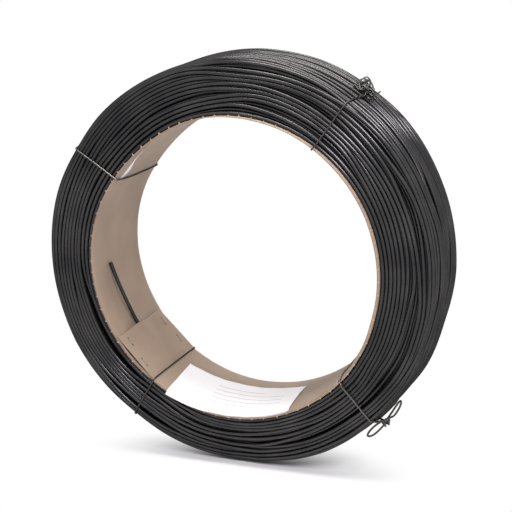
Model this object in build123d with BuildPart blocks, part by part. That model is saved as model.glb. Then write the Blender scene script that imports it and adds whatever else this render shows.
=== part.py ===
from build123d import *
import os
from math import cos, radians, sin

os.makedirs("parts", exist_ok=True)

# Coil of steel welding wire wound on a board liner, standing on its rim.
# Millimetres, +Z up, the coil's axis along Y, front end towards -Y,
# origin under the axis where the rim meets the floor.

# driving dimensions
liner_bore_d = 305.0
liner_thickness = 3.0
liner_width = 115.0
wire_d = 4.0
winding_height = 53.7
liner_overhang = 3.0
rim_width = 79.0
shoulder_drop = 3.5
shoulder_width = 4.0
turn_pitch = 5.7
turn_groove = 1.5
rim_bands = 4
rim_gap_width = 8.0
rim_gap_depth = 2.2
seat_gap = 0.3
tie_wire_d = 1.8
tie_gap = 0.2
tie_sides = 8
tie_angles = {
    "tie_upper_right": 56.0,
    "tie_upper_left": 149.0,
    "tie_lower_left": 236.5,
    "tie_lower_right": 316.0,
}
flap_edge_angle = 214.0
flap_root_angle = 231.5
flap_lift = 4.6
tail_tip_angle = 186.3
tail_end_angle = 221.0
tail_tip_y = -21.0
tail_end_y = -5.0
tail_bends = 4
tail_sides = 8
label_start_angle = 240.0
label_end_angle = 295.0
label_length = 76.0
label_edge_gap = 0.5
label_thickness = 0.25
staple_length = 11.0
staple_width = 1.2
staple_thickness = 0.5
staple_from_tip = (7.0, 34.0)
staple_from_middle = 44.0
staple_gap = 0.05

bow_length = 52.0
bow_rise = 7.5
bow_depth = 5.0
bow_twist_length = 12.0
bow_from_edge = 2.0
knot_width = 27.0
knot_length = 36.0
knot_front_y = 8.0

# sizes that follow from them
bore_r = liner_bore_d / 2
liner_outer_r = bore_r + liner_thickness
winding_inner_r = liner_outer_r + seat_gap
rim_r = winding_inner_r + winding_height
liner_half = liner_width / 2
inner_half = liner_half - liner_overhang
rim_half = rim_width / 2
shoulder_half = rim_half + shoulder_width
shoulder_r = rim_r - shoulder_drop
tie_r = tie_wire_d / 2
axis_height = rim_r
coil_axis = Axis((0, 0, axis_height), (0, 1, 0))
section_plane = Plane.XY.offset(axis_height)
end_plane = Plane(origin=(0, 0, axis_height), x_dir=(1, 0, 0), z_dir=(0, -1, 0))


def turns(start, end):
    """Ridges and grooves of neighbouring turns along a slanted end of the winding."""
    run = Vector(end) - Vector(start)
    count = max(1, round(run.length / turn_pitch))
    inward = Vector(-run.Y, run.X).normalized() * turn_groove
    step = run / count
    points = [Vector(start) + step / 2]
    for i in range(1, count):
        points.append(Vector(start) + step * i + inward)
        points.append(Vector(start) + step * (i + 0.5))
    return points


def bands(front, back):
    """Bands of turns on the rim with the gaps between them, from the front edge to the back edge."""
    pitch = (back - front) / rim_bands
    points = []
    for i in range(1, rim_bands):
        middle = front + pitch * i
        points.append(Vector(rim_r, middle - rim_gap_width / 2))
        points.append(Vector(rim_r - rim_gap_depth, middle))
        points.append(Vector(rim_r, middle + rim_gap_width / 2))
    return points


def end_point(radius, angle):
    """Point on the flat plan of the coil seen along its axis."""
    a = radians(angle)
    return Vector(radius * cos(a), radius * sin(a))


def flap_point(plan_point, y):
    """A point of that plan, carried to its place in space."""
    return Vector(plan_point.X, y, axis_height + plan_point.Y)


def offset_outline(points, distance):
    """Corners of a closed outline moved outwards by one distance on every side."""
    moved = []
    for i, corner in enumerate(points):
        before = (corner - points[i - 1]).normalized()
        after = (points[(i + 1) % len(points)] - corner).normalized()
        normal_before = Vector(before.Y, -before.X)
        normal_after = Vector(after.Y, -after.X)
        middle = (normal_before + normal_after).normalized()
        moved.append(corner + middle * (distance / middle.dot(normal_before)))
    return moved


def radial_plane(angle):
    """Plane through the coil's axis: local x runs outwards, local y along +Y."""
    a = radians(angle)
    outwards = Vector(cos(a), 0, sin(a))
    return Plane(origin=(0, 0, axis_height), x_dir=outwards, z_dir=outwards.cross(Vector(0, 1, 0)))


def on_coil(radius, angle, y):
    """Point at a radius and an angle round the coil's axis."""
    a = radians(angle)
    return Vector(radius * cos(a), y, axis_height + radius * sin(a))


def bow_frame(angle, y):
    """Frame on the rim at a tie: local x along the rim, local y outwards, z along +Y."""
    outwards = end_point(1, angle)
    along = Vector(-outwards.Y, 0, outwards.X)
    return Plane(origin=on_coil(rim_r, angle, y), x_dir=along, z_dir=(0, 1, 0))


# winding: one turned solid whose ridges are the turns of wire
front_low = (winding_inner_r, -inner_half)
front_shoulder = (shoulder_r, -shoulder_half)
front_rim = (rim_r, -rim_half)
back_rim = (rim_r, rim_half)
back_shoulder = (shoulder_r, shoulder_half)
back_low = (winding_inner_r, inner_half)

with BuildPart() as wire_coil:
    with BuildSketch(section_plane):
        with BuildLine():
            outline = [Vector(front_low)]
            outline += turns(front_low, front_shoulder)
            outline += [Vector(front_shoulder), Vector(front_rim)]
            outline += bands(-rim_half, rim_half)
            outline += [Vector(back_rim), Vector(back_shoulder)]
            outline += turns(back_shoulder, back_low)
            outline += [Vector(back_low)]
            Polyline(*outline, close=True)
        make_face()
    revolve(axis=coil_axis)
wire_coil.part.label = "wire_coil"
export_step(wire_coil.part, "parts/wire_coil.step")

# liner: one strip of board bent to a ring, its end lapped inwards as a flat flap
notch = tie_wire_d + 2 * tie_gap
flap_root = end_point(bore_r, flap_root_angle)
flap_tip = end_point(bore_r - flap_lift, flap_edge_angle)
flap_along = (flap_tip - flap_root).normalized()
flap_inwards = Vector(-flap_along.Y, flap_along.X) * liner_thickness
flap_buried = flap_root - flap_along * 4 * liner_thickness
if flap_inwards.dot(flap_root) > 0:
    flap_inwards = -flap_inwards

with BuildPart() as core_liner:
    with BuildSketch(end_plane):
        Polygon(flap_buried, flap_tip, flap_tip + flap_inwards, flap_buried + flap_inwards, align=None)
        Circle(liner_outer_r, mode=Mode.INTERSECT)
        with BuildSketch(mode=Mode.ADD):
            Circle(liner_outer_r)
            Circle(bore_r, mode=Mode.SUBTRACT)
    extrude(amount=liner_half, both=True)
    for angle in tie_angles.values():
        for side in (-1, 1):
            with BuildSketch(radial_plane(angle)):
                with Locations((bore_r, side * liner_half)):
                    Rectangle(4 * liner_thickness, 2 * notch)
            extrude(amount=notch / 2, both=True, mode=Mode.SUBTRACT)
core_liner.part.label = "core_liner"
export_step(core_liner.part, "parts/core_liner.step")

# wire tail: the wire's inner end, lying on the liner and held under the flap
tail_r = wire_d / 2
tail_line_r = bore_r - tail_r - seat_gap
tail_sweep = tail_end_angle - tail_tip_angle
with BuildPart() as wire_tail:
    with BuildLine() as tail_path:
        stations = []
        for i in range(tail_bends + 1):
            share = i / tail_bends
            angle = tail_tip_angle + tail_sweep * share
            stations.append(on_coil(tail_line_r, angle, tail_tip_y + (tail_end_y - tail_tip_y) * share))
        Polyline(*stations)
    with BuildSketch(Plane(origin=tail_path.line @ 0, z_dir=tail_path.line % 0)):
        RegularPolygon(tail_r, tail_sides)
    sweep(transition=Transition.RIGHT)
wire_tail.part.label = "wire_tail"
export_step(wire_tail.part, "parts/wire_tail.step")

# staples across the flap: a straight crown each, pressed on the board
flap_face = Plane(
    origin=flap_point(flap_root + flap_inwards, 0),
    x_dir=flap_point(flap_tip, 0) - flap_point(flap_root, 0),
    z_dir=flap_point(flap_inwards, 0) - flap_point(Vector(0, 0), 0),
)
flap_length = (flap_tip - flap_root).length
with BuildPart() as flap_staples:
    with BuildSketch(flap_face.offset(staple_gap)):
        for from_tip in staple_from_tip:
            for side in (-1, 1):
                with Locations((flap_length - from_tip, side * staple_from_middle)):
                    Rectangle(staple_length, staple_width)
    extrude(amount=staple_thickness)
flap_staples.part.label = "flap_staples"
export_step(flap_staples.part, "parts/flap_staples.step")

# label: a bare sheet of paper on the inside of the liner, from the front edge back
label_outer_r = bore_r - seat_gap
label_sweep = label_end_angle - label_start_angle
with BuildPart() as paper_label:
    with BuildSketch(radial_plane(label_start_angle)):
        with Locations((label_outer_r - label_thickness / 2, label_edge_gap + label_length / 2 - liner_half)):
            Rectangle(label_thickness, label_length)
    revolve(axis=coil_axis.reverse(), revolution_arc=label_sweep)
paper_label.part.label = "paper_label"
export_step(paper_label.part, "parts/paper_label.step")

# loop and hook at the ends of two of the ties, in the rim's own frame
bow_y = -rim_half + bow_from_edge
bow_end = bow_length / 2
bow_corners = [
    (-bow_end, bow_rise),
    (-bow_end + bow_depth, bow_rise + bow_depth / 2),
    (bow_end - bow_depth, bow_rise + bow_depth / 3),
    (bow_end, bow_rise - bow_depth / 2),
    (bow_end - bow_depth / 2, bow_rise - bow_depth),
    (-bow_end + bow_depth, bow_rise - bow_depth / 2),
]
knot_shares = [
    (0, 0, 0),
    (-0.3, 0.1, 1),
    (0.1, 0.35, 2),
    (0.7, 0.65, 2),
    (0.55, 0.95, 3),
    (0.15, 1, 3),
    (-0.2, 0.8, 2),
]
knot_corners = [
    (knot_width * t, knot_front_y + knot_length * y, tie_r + tie_gap + tie_wire_d * level)
    for t, y, level in knot_shares
]

# tie wires: each a closed wrap round the winding and the liner
wrap_half = max(liner_half - notch, inner_half)
wrap_outline = [
    Vector(bore_r, -wrap_half),
    Vector(winding_inner_r, -wrap_half),
    Vector(shoulder_r, -shoulder_half),
    Vector(rim_r, -rim_half),
    Vector(rim_r, rim_half),
    Vector(shoulder_r, shoulder_half),
    Vector(winding_inner_r, wrap_half),
    Vector(bore_r, wrap_half),
]
wrap_centre = offset_outline(wrap_outline, tie_r + tie_gap)
wrap_start = (wrap_centre[0] + wrap_centre[-1]) / 2

for name, angle in tie_angles.items():
    plane = radial_plane(angle)
    with BuildPart() as tie:
        with BuildLine() as wrap:
            Polyline(*[plane.from_local_coords(point) for point in [wrap_start, *wrap_centre, wrap_start]])
        with BuildSketch(Plane(origin=wrap.line @ 0, z_dir=wrap.line % 0)):
            RegularPolygon(tie_r, tie_sides)
        sweep(transition=Transition.RIGHT)
        if name == "tie_lower_right":
            # the twisted ends stand off the rim and carry one long loop
            foot = bow_frame(angle, bow_y)
            with BuildSketch(Plane(origin=foot.from_local_coords((0, tie_r + tie_gap, 0)), z_dir=foot.y_dir)):
                RegularPolygon(1.5 * tie_r, tie_sides)
            extrude(amount=bow_twist_length)
            with BuildLine() as bow:
                Polyline(*[foot.from_local_coords(corner) for corner in bow_corners], close=True)
            with BuildSketch(Plane(origin=bow.line @ 0, z_dir=bow.line % 0)):
                RegularPolygon(tie_r, tie_sides)
            sweep(transition=Transition.RIGHT)
        if name == "tie_upper_right":
            # the ends lie twisted together on the rim and finish in an open hook
            with BuildLine() as knot:
                Polyline(*[bow_frame(angle, y).from_local_coords((t, h, 0)) for t, y, h in knot_corners])
            with BuildSketch(Plane(origin=knot.line @ 0, z_dir=knot.line % 0)):
                RegularPolygon(tie_r, tie_sides)
            sweep(transition=Transition.RIGHT)
    tie.part.label = name
    export_step(tie.part, f"parts/{name}.step")
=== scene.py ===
import math

import bpy
import numpy as np
from mathutils import Matrix, Vector


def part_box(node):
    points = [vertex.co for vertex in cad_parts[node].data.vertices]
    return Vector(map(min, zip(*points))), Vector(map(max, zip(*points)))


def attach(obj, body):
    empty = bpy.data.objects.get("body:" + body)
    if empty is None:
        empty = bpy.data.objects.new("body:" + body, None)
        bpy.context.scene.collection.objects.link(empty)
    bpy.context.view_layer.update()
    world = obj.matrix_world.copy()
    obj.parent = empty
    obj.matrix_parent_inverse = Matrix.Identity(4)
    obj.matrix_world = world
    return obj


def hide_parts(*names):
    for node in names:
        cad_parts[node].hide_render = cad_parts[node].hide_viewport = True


bl_info = {
    "name": "Welding wire coil",
    "version": (1, 0, 0),
    "blender": (4, 5, 0),
    "location": "3D View > Sidebar > Wire coil",
    "description": "Dresses a packed wire coil with laid turns, a board liner, ties and a label",
    "category": "Add Mesh",
}

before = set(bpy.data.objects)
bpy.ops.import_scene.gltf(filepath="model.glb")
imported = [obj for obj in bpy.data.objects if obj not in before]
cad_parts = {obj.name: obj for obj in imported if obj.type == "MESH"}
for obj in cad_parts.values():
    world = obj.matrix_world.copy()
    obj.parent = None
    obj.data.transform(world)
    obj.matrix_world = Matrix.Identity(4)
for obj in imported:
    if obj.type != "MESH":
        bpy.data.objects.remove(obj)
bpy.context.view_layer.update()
NODE_BOX = {name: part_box(name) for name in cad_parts}

MM = 0.001
RIM_R = (NODE_BOX["wire_coil"][1][2] - NODE_BOX["wire_coil"][0][2]) / 2 / MM
AXIS_Z = RIM_R
LINER_R = (NODE_BOX["core_liner"][1][2] - NODE_BOX["core_liner"][0][2]) / 2 / MM
WINDING_HALF = NODE_BOX["wire_coil"][1][1] / MM
TIE_ANGLES = (55.0, 149.0, 236.5, 315.0)


class WireCoilWinding(bpy.types.PropertyGroup):
    wire_diameter: bpy.props.FloatProperty(
        name="Wire diameter", description="Diameter of the welding wire in mm",
        default=3.9, min=1.0, max=4.1)
    rim_half: bpy.props.FloatProperty(
        name="Half rim width", description="Half the width of the winding at its shoulders in mm",
        default=43.5, min=10.0, max=60.0)
    wander: bpy.props.FloatProperty(
        name="Wander", description="How far the turns at a shoulder stray from their place in mm",
        default=1.2, min=0.0, max=4.0)
    slips: bpy.props.FloatProperty(
        name="Slips", description="How often a turn slips under its neighbours",
        default=0.55, min=0.0, max=1.0)
    squeeze: bpy.props.FloatProperty(
        name="Tie squeeze", description="How far a tie draws the shoulder turns in, in mm",
        default=1.0, min=0.0, max=4.0)
    seed: bpy.props.IntProperty(
        name="Seed", description="Start of the random draws", default=11, min=0)
    steel: bpy.props.FloatVectorProperty(
        name="Steel", description="Colour of the drawn wire", subtype="COLOR",
        default=(0.054, 0.053, 0.055), min=0.0, max=1.0)


class WireCoilLiner(bpy.types.PropertyGroup):
    board: bpy.props.FloatVectorProperty(
        name="Board", description="Colour of the board", subtype="COLOR",
        default=(0.298, 0.22, 0.16), min=0.0, max=1.0)


class WireCoilTies(bpy.types.PropertyGroup):
    diameter: bpy.props.FloatProperty(
        name="Tie diameter", description="Diameter of the tie wire in mm",
        default=1.6, min=0.5, max=4.0)
    # Lit copy of the tie wire's colour, a painted highlight; 0.6 of it makes the painted-shade
    # copy.
    steel: bpy.props.FloatVectorProperty(
        name="Tie steel", description="Colour of the tie wire", subtype="COLOR",
        default=(0.13, 0.127, 0.122), min=0.0, max=1.0)


class WireCoilStage(bpy.types.PropertyGroup):
    azimuth: bpy.props.FloatProperty(
        name="Azimuth", description="Side the camera looks from, in degrees", default=20.952)
    elevation: bpy.props.FloatProperty(
        name="Elevation", description="Height the camera looks from, in degrees", default=14.298)
    distance: bpy.props.FloatProperty(
        name="Distance", description="Camera distance from the middle of the coil",
        default=2.0, unit="LENGTH")


def on_coil(radius, angle, y):
    """Point in metres at a radius and y in mm and an angle in degrees round the coil's axis."""
    a = math.radians(angle)
    return (radius * math.cos(a) * MM, y * MM, (AXIS_Z + radius * math.sin(a)) * MM)


def add_object(name, verts, faces, slot, material, smooth=True):
    """Mesh object of one material that rides on the part's body."""
    mesh = bpy.data.meshes.new(name)
    mesh.from_pydata([tuple(v) for v in verts], [], [tuple(f) for f in faces])
    mesh.materials.append(material)
    if smooth:
        mesh.polygons.foreach_set("use_smooth", [True] * len(mesh.polygons))
    mesh.update()
    piece = bpy.data.objects.new(name, mesh)
    bpy.context.scene.collection.objects.link(piece)
    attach(piece, "root")
    return piece


def tube(points, radius, sides=10, closed=False):
    """Vertices and faces of a round tube along points in metres, with its ends capped."""
    path = [Vector(p) for p in points]
    count = len(path)
    verts, faces = [], []
    tangents = []
    for i in range(count):
        before = path[i - 1] if (i > 0 or closed) else path[i]
        after = path[(i + 1) % count] if (i < count - 1 or closed) else path[i]
        tangents.append((after - before).normalized())
    normal = tangents[0].orthogonal().normalized()
    normals = []
    for i in range(count):
        normal = (normal - tangents[i] * normal.dot(tangents[i])).normalized()
        normals.append(normal.copy())
    twist = 0.0
    if closed:
        last = (normals[-1] - tangents[0] * normals[-1].dot(tangents[0])).normalized()
        twist = math.atan2(last.cross(normals[0]).dot(tangents[0]), last.dot(normals[0]))
    for i in range(count):
        side = tangents[i].cross(normals[i])
        turn = twist * i / count
        for j in range(sides):
            a = 2 * math.pi * j / sides + turn
            verts.append(path[i] + (normals[i] * math.cos(a) + side * math.sin(a)) * radius)
    rings = count if closed else count - 1
    for i in range(rings):
        a, b = i * sides, ((i + 1) % count) * sides
        for j in range(sides):
            k = (j + 1) % sides
            faces.append((a + j, a + k, b + k, b + j))
    if not closed:
        faces.append(tuple(reversed(range(sides))))
        faces.append(tuple((count - 1) * sides + j for j in range(sides)))
    return verts, faces


def smooth_path(points, steps=6, closed=False):
    """Catmull-Rom curve through points."""
    path = [Vector(p) for p in points]
    count = len(path)
    result = []
    spans = count if closed else count - 1
    for i in range(spans):
        if closed:
            a, b, c, d = path[i - 1], path[i], path[(i + 1) % count], path[(i + 2) % count]
        else:
            a, b = path[max(i - 1, 0)], path[i]
            c, d = path[i + 1], path[min(i + 2, count - 1)]
        for step in range(steps):
            t = step / steps
            square = (2 * a - 5 * b + 4 * c - d) * t * t
            cube = (3 * b - a - 3 * c + d) * t ** 3
            result.append(0.5 * ((2 * b) + (c - a) * t + square + cube))
    if not closed:
        result.append(path[-1])
    return result


def round_noise(rng, reach):
    """Soft random line of unit size that closes on itself; reach is its finest wave per turn."""
    angle = np.arange(STATIONS) * 2 * math.pi / STATIONS
    line = np.zeros(STATIONS)
    power = 0.0
    for wave in range(1, int(reach * 2.5) + 1):
        size = math.exp(-0.5 * (wave / reach) ** 2)
        line += size * rng.uniform(0.6, 1.4) * np.cos(wave * angle + rng.uniform(0, 2 * math.pi))
        power += size * size / 2
    return line / math.sqrt(power)


def ring_sweep(sections, angles):
    """Closed ring of closed cross-sections, each a list of (radius, y) in mm."""
    verts, faces = [], []
    size = len(sections[0])
    for section, angle in zip(sections, angles):
        verts.extend(on_coil(radius, angle, y) for radius, y in section)
    for i in range(len(sections)):
        a, b = i * size, ((i + 1) % len(sections)) * size
        for j in range(size):
            k = (j + 1) % size
            faces.append((a + j, b + j, b + k, a + k))
    return verts, faces


def sheet(front, back):
    """Closed thin sheet between two grids of points of the same size."""
    rows, columns = len(front), len(front[0])
    verts = [point for row in front + back for point in row]
    half = rows * columns
    faces = []
    for i in range(rows - 1):
        for j in range(columns - 1):
            a = i * columns + j
            faces.append((a, a + 1, a + columns + 1, a + columns))
            b = half + a
            faces.append((b, b + columns, b + columns + 1, b + 1))
    rim = list(range(columns - 1))
    rim += [i * columns + columns - 1 for i in range(rows - 1)]
    rim += [(rows - 1) * columns + j for j in range(columns - 1, 0, -1)]
    rim += [i * columns for i in range(rows - 1, 0, -1)]
    for a, b in zip(rim, rim[1:] + rim[:1]):
        faces.append((a, half + a, half + b, b))
    return verts, faces


def grid(rows, columns, point):
    """Rows of points, each made from its share of the rows and of the columns."""
    return [[point(i / (rows - 1), j / (columns - 1)) for j in range(columns)]
            for i in range(rows)]


def ease(t):
    """Smooth step from 0 to 1."""
    return t * t * (3 - 2 * t)


def blend_between(value, table):
    """Smooth value of a table of (place, value) rows at a place."""
    if value <= table[0][0]:
        return table[0][1]
    for (a, first), (b, second) in zip(table, table[1:]):
        if value <= b:
            return first + (second - first) * ease((value - a) / (b - a))
    return table[-1][1]


def bell(value, middle, width):
    """Bell curve of height 1, of a number or an array."""
    return np.exp(-0.5 * ((value - middle) / width) ** 2)


def within(value):
    """Value held between 0 and 1."""
    return min(max(value, 0), 1)


def off_angle(angle, middle):
    """Short way round from a middle angle to an angle, in degrees."""
    return (angle - middle + 180) % 360 - 180


def join(parts):
    """One mesh out of several (vertices, faces) pairs."""
    verts, faces = [], []
    for part_verts, part_faces in parts:
        base = len(verts)
        verts.extend(part_verts)
        faces.extend(tuple(base + v for v in face) for face in part_faces)
    return verts, faces


def hull(points):
    """Convex outline of points (radius, y), counter-clockwise."""
    rest = sorted(set(points))

    def half(line):
        chain = []
        for p in line:
            while len(chain) > 1:
                (ax, ay), (bx, by) = chain[-2], chain[-1]
                if (bx - ax) * (p[1] - ay) - (by - ay) * (p[0] - ax) > 0:
                    break
                chain.pop()
            chain.append(p)
        return chain[:-1]

    return half(rest) + half(rest[::-1])


STATIONS = 288
STATION_ANGLES = np.arange(STATIONS) * 360 / STATIONS
FACE_TURNS = 12
RIM_TURNS = 16

# Gaps that open between turns of the rim: turn before it, angle, half length in degrees, width.
LENSES = (
    (17, 42, 13, 3.4), (16, 62, 9, 1.6), (22, 2, 17, 3.6), (21, 66, 24, 3.4), (14, 84, 10, 3.0),
    (26, 36, 11, 2.8), (29, 60, 11, 2.6), (19, 22, 7, 1.8), (24, 95, 14, 2.6), (19, 112, 13, 3.0),
    (15, 350, 14, 3.0), (27, 340, 16, 2.8), (18, 300, 20, 1.4), (22, 292, 20, 3.0),
    (26, 280, 20, 2.8),
)
# Turns of the rim after which a bundle of close turns ends.
BUNDLE_ENDS = (13, 15, 18, 20, 23, 25)
# How uneven the gaps are, and how much wider they are at a bundle's end and in a lens.
GAP_SPREAD, BUNDLE_GAP, BUNDLE_SPREAD, LENS_GAP = 2.0, 6.0, 2.5, 9.0

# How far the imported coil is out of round, in mm: angle, outwards.
OVAL = (
    (0, -0.6), (22, 0.4), (47, 2.2), (66, 1.2), (85, 0.0), (112, -1.6), (140, -1.4), (168, -0.3),
    (205, 0.2), (270, 0.0), (344, -1.5), (360, -0.6),
)
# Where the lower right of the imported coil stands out, front and back: angle, outwards in mm.
SAG = ((272, 0.0), (280, 1.6), (290, 3.2), (312, 3.6), (328, 2.6), (346, 0.0))
# Angle and width of the stretch where the front turns have crushed the board's edge, and how deep.
CRUSH = (88.0, 34.0, 1.5)
# The same for the stretch where board and inner turns are pushed in.
PUSHED_IN = (137.0, 18.0, 4.2)
# Where the board's front edge and the first turns are pressed out: angle, outwards in mm.
PRESSED_OUT = (
    (238, 0.0), (262, 3.2), (282, 3.4), (300, 3.2), (320, 3.2), (330, 2.0), (348, 0.0),
)
# Length across the turns, from the board, over which each of the three fades.
CRUSH_FADE, PUSH_FADE, PRESS_FADE = 4.0, 14.0, 46.0

# Share of the middle line that one face takes, and the place at which a tie bites most.
FACE_SHARE, BITE_SHARE = 0.276, 0.285
# How far a tie's hold reaches along a turn in degrees and across the turns in mm.
HOLD_ANGLE, HOLD_REACH = 6.0, 7.0
# A slipped turn dips under its neighbours by up to this angle, and eases in over this many degrees.
SLIP_ANGLE, SLIP_EASE = 60, 26
# Step of the middle line, and how far its corners are rounded, in mm.
LINE_STEP, CORNER_REACH = 0.5, 1.8
# The line starts this far below the board and farther out, so that its first turn lies snug.
LEAD_IN, LEAD_OUT = 12, 3.2
# Height and width of the slope between a shoulder and the rim, in mm.
SLOPE_HEIGHT, SLOPE_WIDTH = 3.5, 4.0
# Small unevenness of every turn's height in mm.
TURN_LIFT = 0.45


class LaidWire:
    """The turns that show, from the liner up the front, across the rim and down the back."""

    def __init__(self, settings):
        self.settings = settings
        self.wire = settings.wire_diameter
        self.wire_r = self.wire / 2
        self.inner_r = LINER_R + 0.3
        self.line = self.middle_line()
        self.rng = np.random.default_rng(settings.seed)
        self.count = 2 * FACE_TURNS + RIM_TURNS
        self.dip = self.dips()
        self.along, self.depth = self.lay()
        self.under_along, self.under_depth = self.lay_under()

    def middle_line(self):
        """Rows of length, radius, y and inward normal along the line of the turns' middles."""
        half = self.settings.rim_half
        front = [(self.inner_r - LEAD_IN, -WINDING_HALF - LEAD_OUT), (self.inner_r, -WINDING_HALF)]
        front += [(RIM_R - SLOPE_HEIGHT, -half), (RIM_R, SLOPE_WIDTH - half)]
        corners = np.array(front + [(r, -y) for r, y in reversed(front)])
        steps = np.hypot(*np.diff(corners, axis=0).T)
        far = np.concatenate([[0], np.cumsum(steps)])
        place = np.arange(0, far[-1], LINE_STEP)
        line = np.stack([np.interp(place, far, corners[:, k]) for k in range(2)], axis=1)
        kernel = bell(np.arange(-12, 13) * LINE_STEP, 0.0, CORNER_REACH)
        kernel /= kernel.sum()
        line = np.stack([np.convolve(line[:, k], kernel, mode="valid") for k in range(2)], axis=1)
        ahead = np.gradient(line, axis=0)
        ahead /= np.hypot(ahead[:, 0], ahead[:, 1])[:, None]
        normal = np.stack([-ahead[:, 1], ahead[:, 0]], axis=1)
        line = line + normal * self.wire_r
        keep = line[:, 0] >= self.inner_r + self.wire_r
        line, normal = line[keep], normal[keep]
        far = np.concatenate([[0], np.cumsum(np.hypot(*np.diff(line, axis=0).T))])
        return np.column_stack([far, line, normal])

    def dips(self):
        """How far each turn slips under its neighbours along its way, from 0 to 60 degrees."""
        dip = np.zeros((self.count, STATIONS))
        for turn in range(1, self.count - 1):
            for _ in range(2):
                middle, reach = self.rng.uniform(0, 360), self.rng.uniform(8, 34)
                if self.rng.uniform() > self.settings.slips:
                    continue
                away = np.abs(off_angle(STATION_ANGLES, middle))
                here = np.clip((reach + SLIP_EASE - away) / SLIP_EASE, 0, 1)
                here = ease(here) * math.radians(SLIP_ANGLE)
                if (dip[turn - 1] * here).any() or (dip[turn + 1] * here).any():
                    continue
                dip[turn] = np.maximum(dip[turn], here)
        return dip

    def lay(self):
        """Length along the middle line and depth under it of every outer turn at every station."""
        rng = self.rng
        s = self.settings
        total = self.line[-1, 0]
        face = FACE_SHARE * total
        drop = self.wire * np.sin(self.dip)
        near = np.sqrt(np.clip(self.wire ** 2 - np.diff(drop, axis=0) ** 2, 0, None))
        open_gap = np.array([round_noise(rng, 4.2) for _ in range(self.count + 1)])
        weight = np.exp(GAP_SPREAD * open_gap)
        last = FACE_TURNS + RIM_TURNS
        weight[FACE_TURNS:last] **= 0.5
        for turn in BUNDLE_ENDS:
            weight[turn] += BUNDLE_GAP + BUNDLE_SPREAD * round_noise(rng, 3.0)
        for turn, angle, reach, width in LENSES:
            away = off_angle(STATION_ANGLES, angle)
            weight[turn] += LENS_GAP * width * np.exp(-0.5 * (away / reach * 1.6) ** 2)
        half_face = FACE_TURNS // 2
        firsts = (0, half_face, FACE_TURNS, FACE_TURNS + RIM_TURNS // 2, last,
                  self.count - half_face, self.count - 1)
        places = (0, face * 0.5, face, total / 2, total - face, total - face * 0.5, total)
        sizes = (0, 1.2, 1.1, 2.4, 1.1, 1.2, 0)
        edges = [place + s.wander * size * round_noise(rng, 2.8)
                 for place, size in zip(places, sizes)]
        along = np.zeros((self.count, STATIONS))
        for part in range(len(firsts) - 1):
            low, high = firsts[part], firsts[part + 1]
            spans = near[low:high]
            room = np.clip(edges[part + 1] - edges[part] - spans.sum(0), 0, None)
            share = weight[low:high] / weight[low:high].sum(0)
            spans = spans + room * share
            along[low] = edges[part]
            along[low + 1:high + 1] = edges[part] + np.cumsum(spans, axis=0)
            edges[part + 1] = along[high]
        lift = np.array([round_noise(rng, 4.0) for _ in range(self.count)])
        depth = drop + TURN_LIFT * np.abs(lift)
        depth += self.pinch(along)
        share = np.clip(along / face, 0, 1) * np.clip((total - along) / face, 0, 1)
        oval = np.array([blend_between(angle, OVAL) for angle in STATION_ANGLES])[None, :]
        behind = np.clip((along / total - 0.3) / 0.2, 0, 1)
        depth -= share * np.where(oval > 0, oval * behind, oval)
        depth -= share * np.array([blend_between(angle, SAG) for angle in STATION_ANGLES])[None, :]
        return along, depth

    def pinch(self, along):
        """How far the ties draw the turns in, most at the shoulders."""
        hold = np.zeros(STATIONS)
        for tie in TIE_ANGLES:
            hold = np.maximum(hold, bell(off_angle(STATION_ANGLES, tie), 0.0, HOLD_ANGLE))
        total = self.line[-1, 0]
        shoulder = bell(along, BITE_SHARE * total, HOLD_REACH)
        shoulder += bell(along, (1 - BITE_SHARE) * total, HOLD_REACH)
        return self.settings.squeeze * hold[None, :] * (0.2 + shoulder)

    def lay_under(self):
        """The turns below, each in the valley between two outer ones."""
        along = (self.along[1:] + self.along[:-1]) / 2
        gap = np.diff(self.along, axis=0) / 2
        above = np.maximum(self.depth[1:], self.depth[:-1])
        below = np.sqrt(np.clip((self.wire * 1.03) ** 2 - gap ** 2, 1.0, None))
        return along, above + np.maximum(below, self.wire * 0.93)

    def section(self, along, depth, angle=None):
        """Radius and y of places given by length and depth."""
        far = self.line[:, 0]
        radius, y, inwards, sideways = [np.interp(along, far, self.line[:, k]) for k in range(1, 5)]
        radius, y = radius + inwards * depth, y + sideways * depth
        radius = np.maximum(radius, self.inner_r + self.wire_r)
        if angle is not None:
            crush_angle, crush_width, crushed = CRUSH
            crush = crushed * bell(angle, crush_angle, crush_width)
            radius = radius - crush * np.exp(-along / CRUSH_FADE)
            push_angle, push_width, pushed = PUSHED_IN
            fade = np.exp(-along / PUSH_FADE) + np.exp((along - far[-1]) / PUSH_FADE)
            radius = radius - pushed * bell(angle, push_angle, push_width) * fade
            pressed = np.array([blend_between(a, PRESSED_OUT) for a in np.atleast_1d(angle)])
            radius = radius + pressed * np.clip(1 - along / PRESS_FADE, 0, 1)
        return radius, y

    def outline_at(self, angle):
        """Middle points of the outer turns at an angle, as rows of radius and y."""
        k = int(round(angle / 360 * STATIONS)) % STATIONS
        radius, y = self.section(self.along[:, k], self.depth[:, k], angle)
        return np.column_stack([radius, y])

    def turn(self, along, depth, sides, every):
        """Vertices and faces of one closed turn."""
        angle = np.arange(0, STATIONS, every) * 2 * math.pi / STATIONS
        radius, y = self.section(along[::every], depth[::every], np.degrees(angle))
        around = np.arange(sides) * 2 * math.pi / sides
        r = radius[:, None] + self.wire_r * np.cos(around)[None, :]
        w = y[:, None] + self.wire_r * np.sin(around)[None, :]
        x, z = r * np.cos(angle)[:, None], AXIS_Z + r * np.sin(angle)[:, None]
        verts = np.stack([x, w, z], axis=2).reshape(-1, 3) * MM
        rows = len(angle)
        i, j = np.meshgrid(np.arange(rows), np.arange(sides), indexing="ij")
        k, m = (i + 1) % rows, (j + 1) % sides
        corners = [i * sides + j, k * sides + j, k * sides + m, i * sides + m]
        return verts, np.stack(corners, axis=2).reshape(-1, 4)


LAID = {}


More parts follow.
